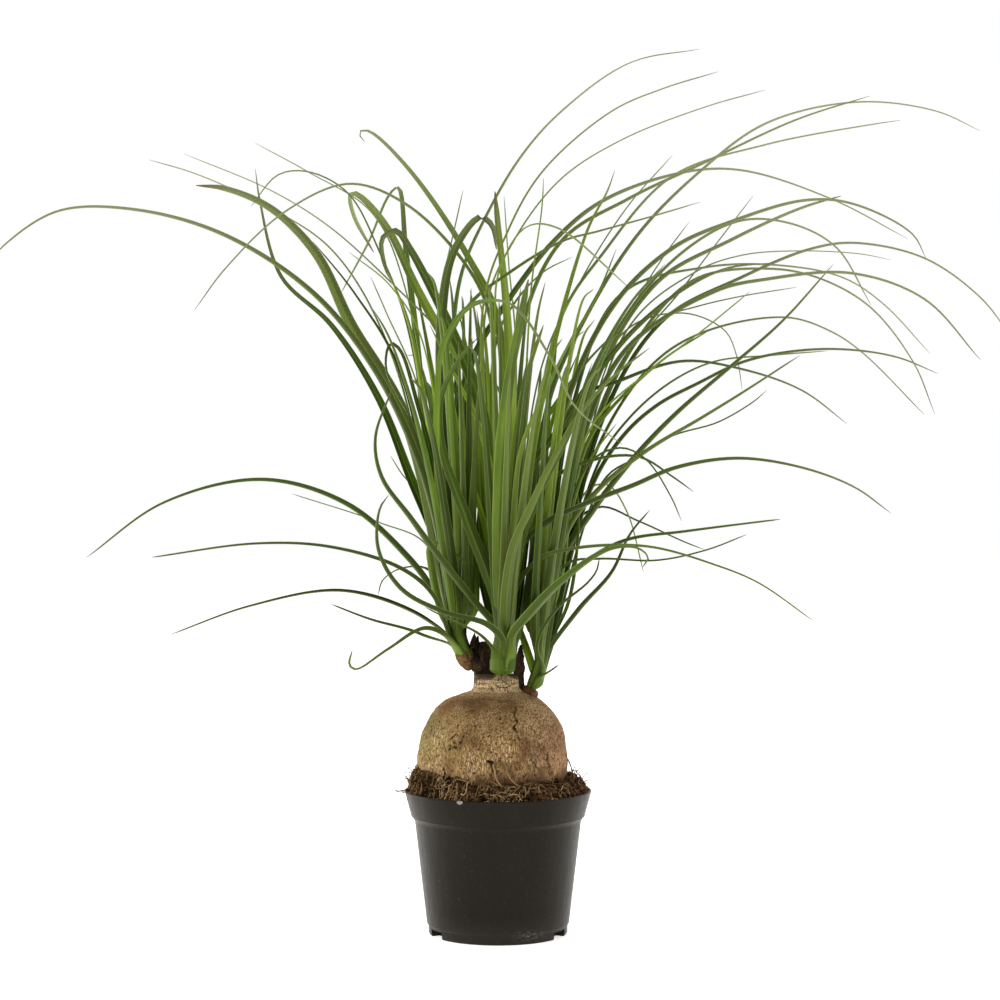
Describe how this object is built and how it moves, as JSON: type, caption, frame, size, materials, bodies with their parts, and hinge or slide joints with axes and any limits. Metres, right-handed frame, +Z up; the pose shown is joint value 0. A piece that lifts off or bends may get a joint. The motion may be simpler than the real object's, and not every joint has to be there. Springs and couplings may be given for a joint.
{
  "type": "potted ponytail palm",
  "caption": "Ponytail palm with a swollen tan trunk base and tufts of long arching strap leaves, in a dark tapered nursery pot.",
  "frame": {"origin": "centre of the flat pad under the pot, on the surface that the pot stands on", "axes": "+X to the viewer's right, +Y away from the viewer, +Z up"},
  "size_m": [0.6593, 0.4538, 0.6064],
  "materials": {
    "pot_plastic": "satin dark grey-brown",
    "soil": "rough dark peat with fibres",
    "bark": "matt tan bark with fine fissures",
    "leaf_dark": "satin dark green leaf",
    "leaf_bright": "satin yellow-green leaf",
    "leaf_mid": "satin mid-green leaf"
  },
  "bodies": {
    "root": {"nursery_pot": "pot_plastic", "potting_soil": "soil", "caudex": "bark", "rosette_left": "leaf_dark", "rosette_middle": "leaf_bright", "rosette_right": "leaf_mid"}
  },
  "joints": []
}
